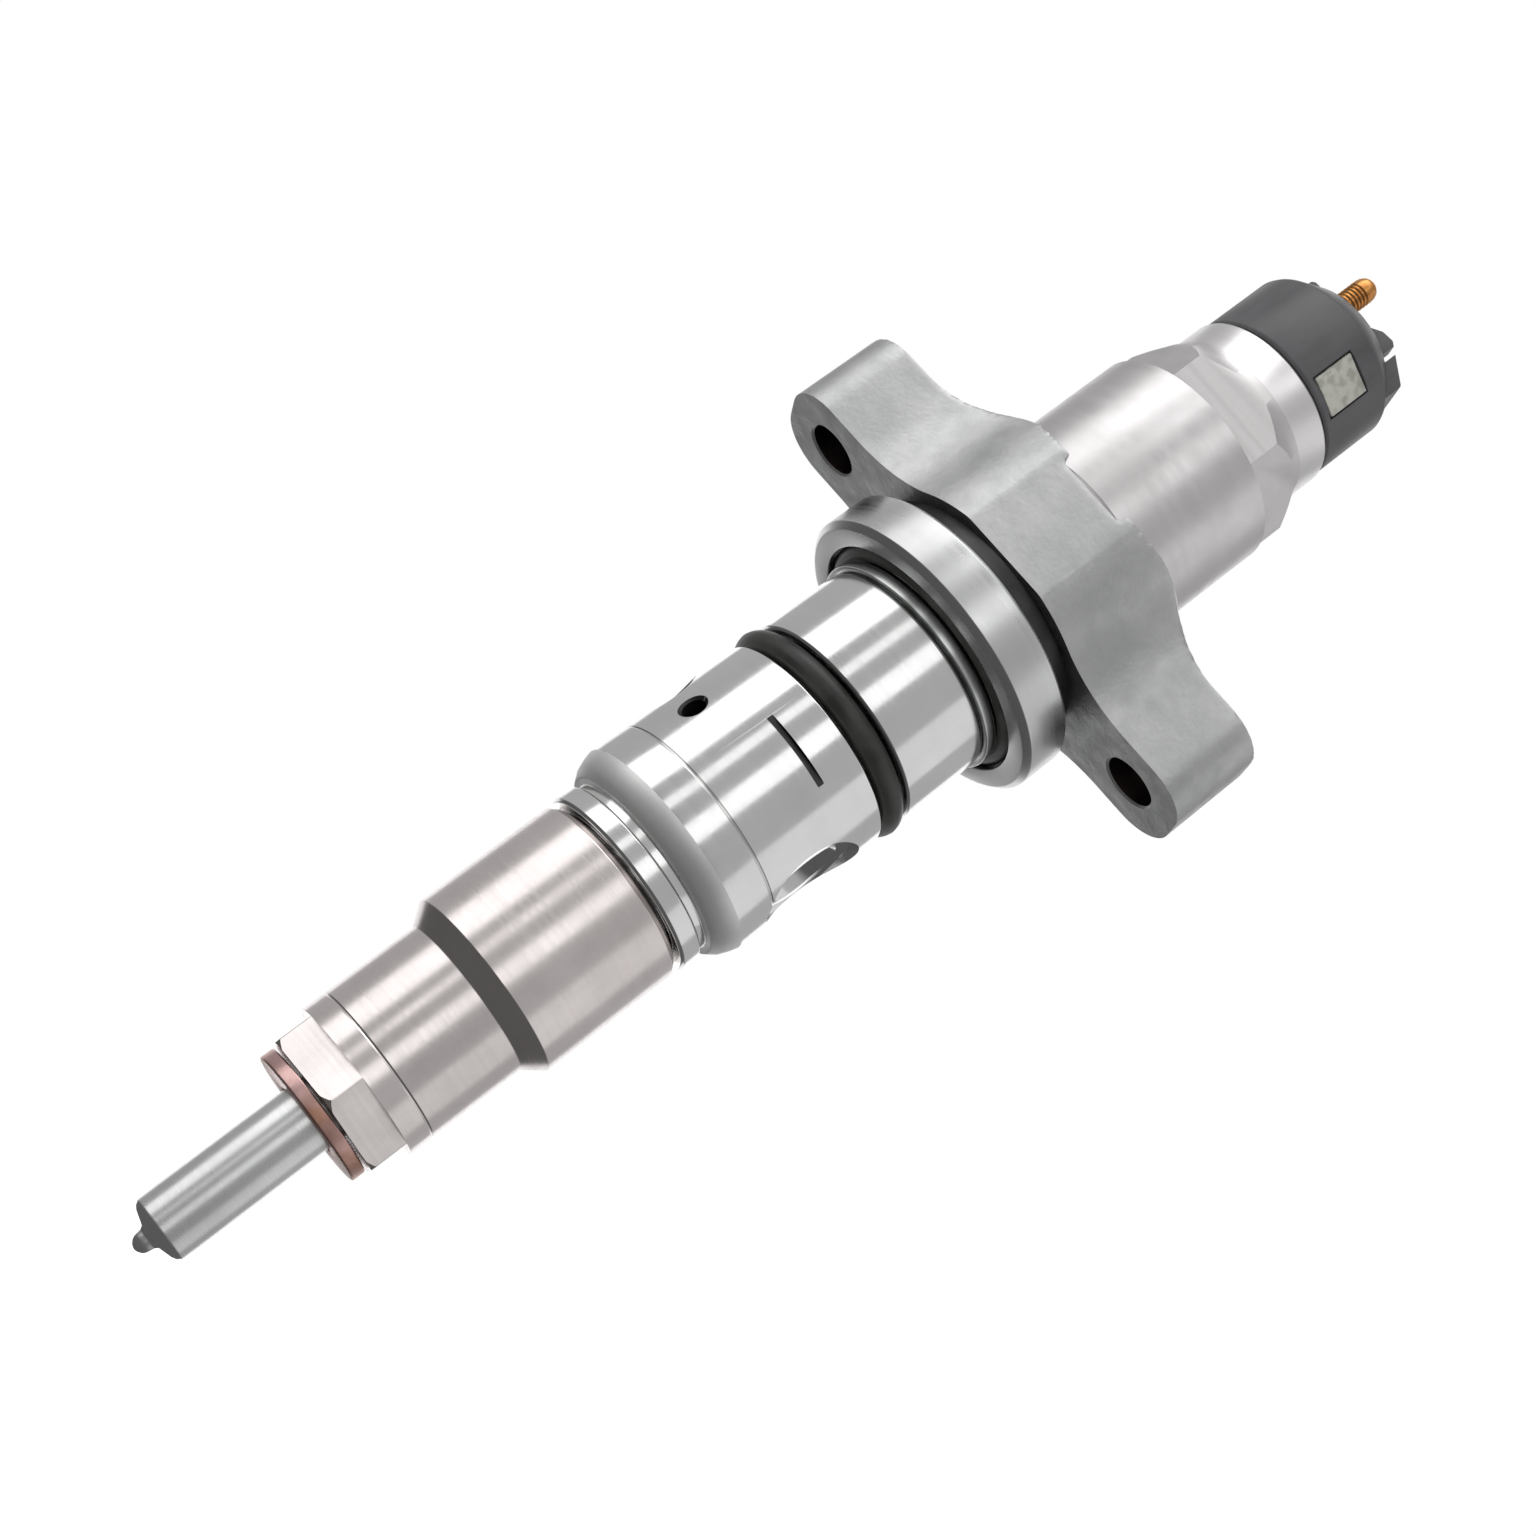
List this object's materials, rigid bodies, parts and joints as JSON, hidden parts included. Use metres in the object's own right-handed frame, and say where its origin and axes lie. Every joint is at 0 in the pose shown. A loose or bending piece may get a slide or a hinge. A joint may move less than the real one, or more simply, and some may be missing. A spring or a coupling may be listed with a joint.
{
  "type": "fuel injector",
  "caption": "Heavy-duty common-rail fuel injector: stepped turned body, two-ear clamp, copper seat washer, solenoid head with capped electrical terminals.",
  "frame": {"origin": "on the injector's axis, in the plane of the clamp's underside", "axes": "+Z from the nozzle to the terminals, +X through the ear on the fuel inlet's side, -Y towards the index slot"},
  "size_m": [0.065, 0.036, 0.1798],
  "materials": {
    "ground_steel": "fine ground, bright",
    "nut_steel": "satin turned, slightly warm",
    "polished_steel": "ground and polished",
    "forged_steel": "matte forged, blasted",
    "satin_steel": "satin turned",
    "inner_steel": "ground",
    "spring_steel": "drawn wire",
    "copper": "annealed copper",
    "terminal_copper": "smooth copper",
    "black_rubber": "moulded, oiled",
    "black_plastic": "glass-filled moulding",
    "label_grey": "plain, no text",
    "coil_resin": "resin-dipped winding",
    "magnet_iron": "sintered"
  },
  "bodies": {
    "holder": {"armature_guide": "inner_steel", "armature_spring": "spring_steel", "backing_ring": "polished_steel", "body_o_ring": "black_rubber", "clamp_flange": "forged_steel", "collar_seal": "black_rubber", "combustion_washer": "copper", "dowel_pin_1": "inner_steel", "dowel_pin_2": "inner_steel", "electrical_cap": "black_plastic", "high_pressure_seal": "copper", "injector_body": "polished_steel", "label_plate": "label_grey", "lift_shim": "inner_steel", "nozzle_body": "ground_steel", "nozzle_retaining_nut": "nut_steel", "nozzle_spring": "spring_steel", "solenoid_coil": "coil_resin", "solenoid_core": "magnet_iron", "solenoid_nut": "satin_steel", "solenoid_o_ring": "black_rubber", "spacer_sleeve": "inner_steel", "spring_shim": "inner_steel", "terminal_stud_1": "terminal_copper", "terminal_stud_2": "terminal_copper", "valve_body": "inner_steel", "valve_clamp_nut": "inner_steel", "valve_spring": "spring_steel"},
    "needle": {"nozzle_needle": "inner_steel", "spring_seat": "inner_steel"},
    "piston": {"control_piston": "inner_steel"},
    "armature": {"armature_pin": "inner_steel", "armature_plate": "magnet_iron"},
    "valve": {"valve_ball": "polished_steel", "ball_holder": "inner_steel"}
  },
  "joints": [
    {"name": "needle_lift", "type": "slide", "parent": "holder", "child": "needle", "axis": [0, 0, 1], "range_m": [0, 0.00025], "stiffness_N_per_m": 20000, "deforming": ["nozzle_spring"]},
    {"name": "piston_lift", "type": "slide", "parent": "holder", "child": "piston", "axis": [0, 0, 1], "range_m": [0, 0.00025]},
    {"name": "armature_lift", "type": "slide", "parent": "holder", "child": "armature", "axis": [0, 0, 1], "range_m": [0, 0.00006], "stiffness_N_per_m": 20000, "deforming": ["valve_spring", "armature_spring"]},
    {"name": "valve_lift", "type": "slide", "parent": "holder", "child": "valve", "axis": [0, 0, 1], "range_m": [0, 0.00006]}
  ],
  "couplings": [
    {"joint": "piston_lift", "follows": "needle_lift", "ratio": 1},
    {"joint": "valve_lift", "follows": "armature_lift", "ratio": 1}
  ]
}
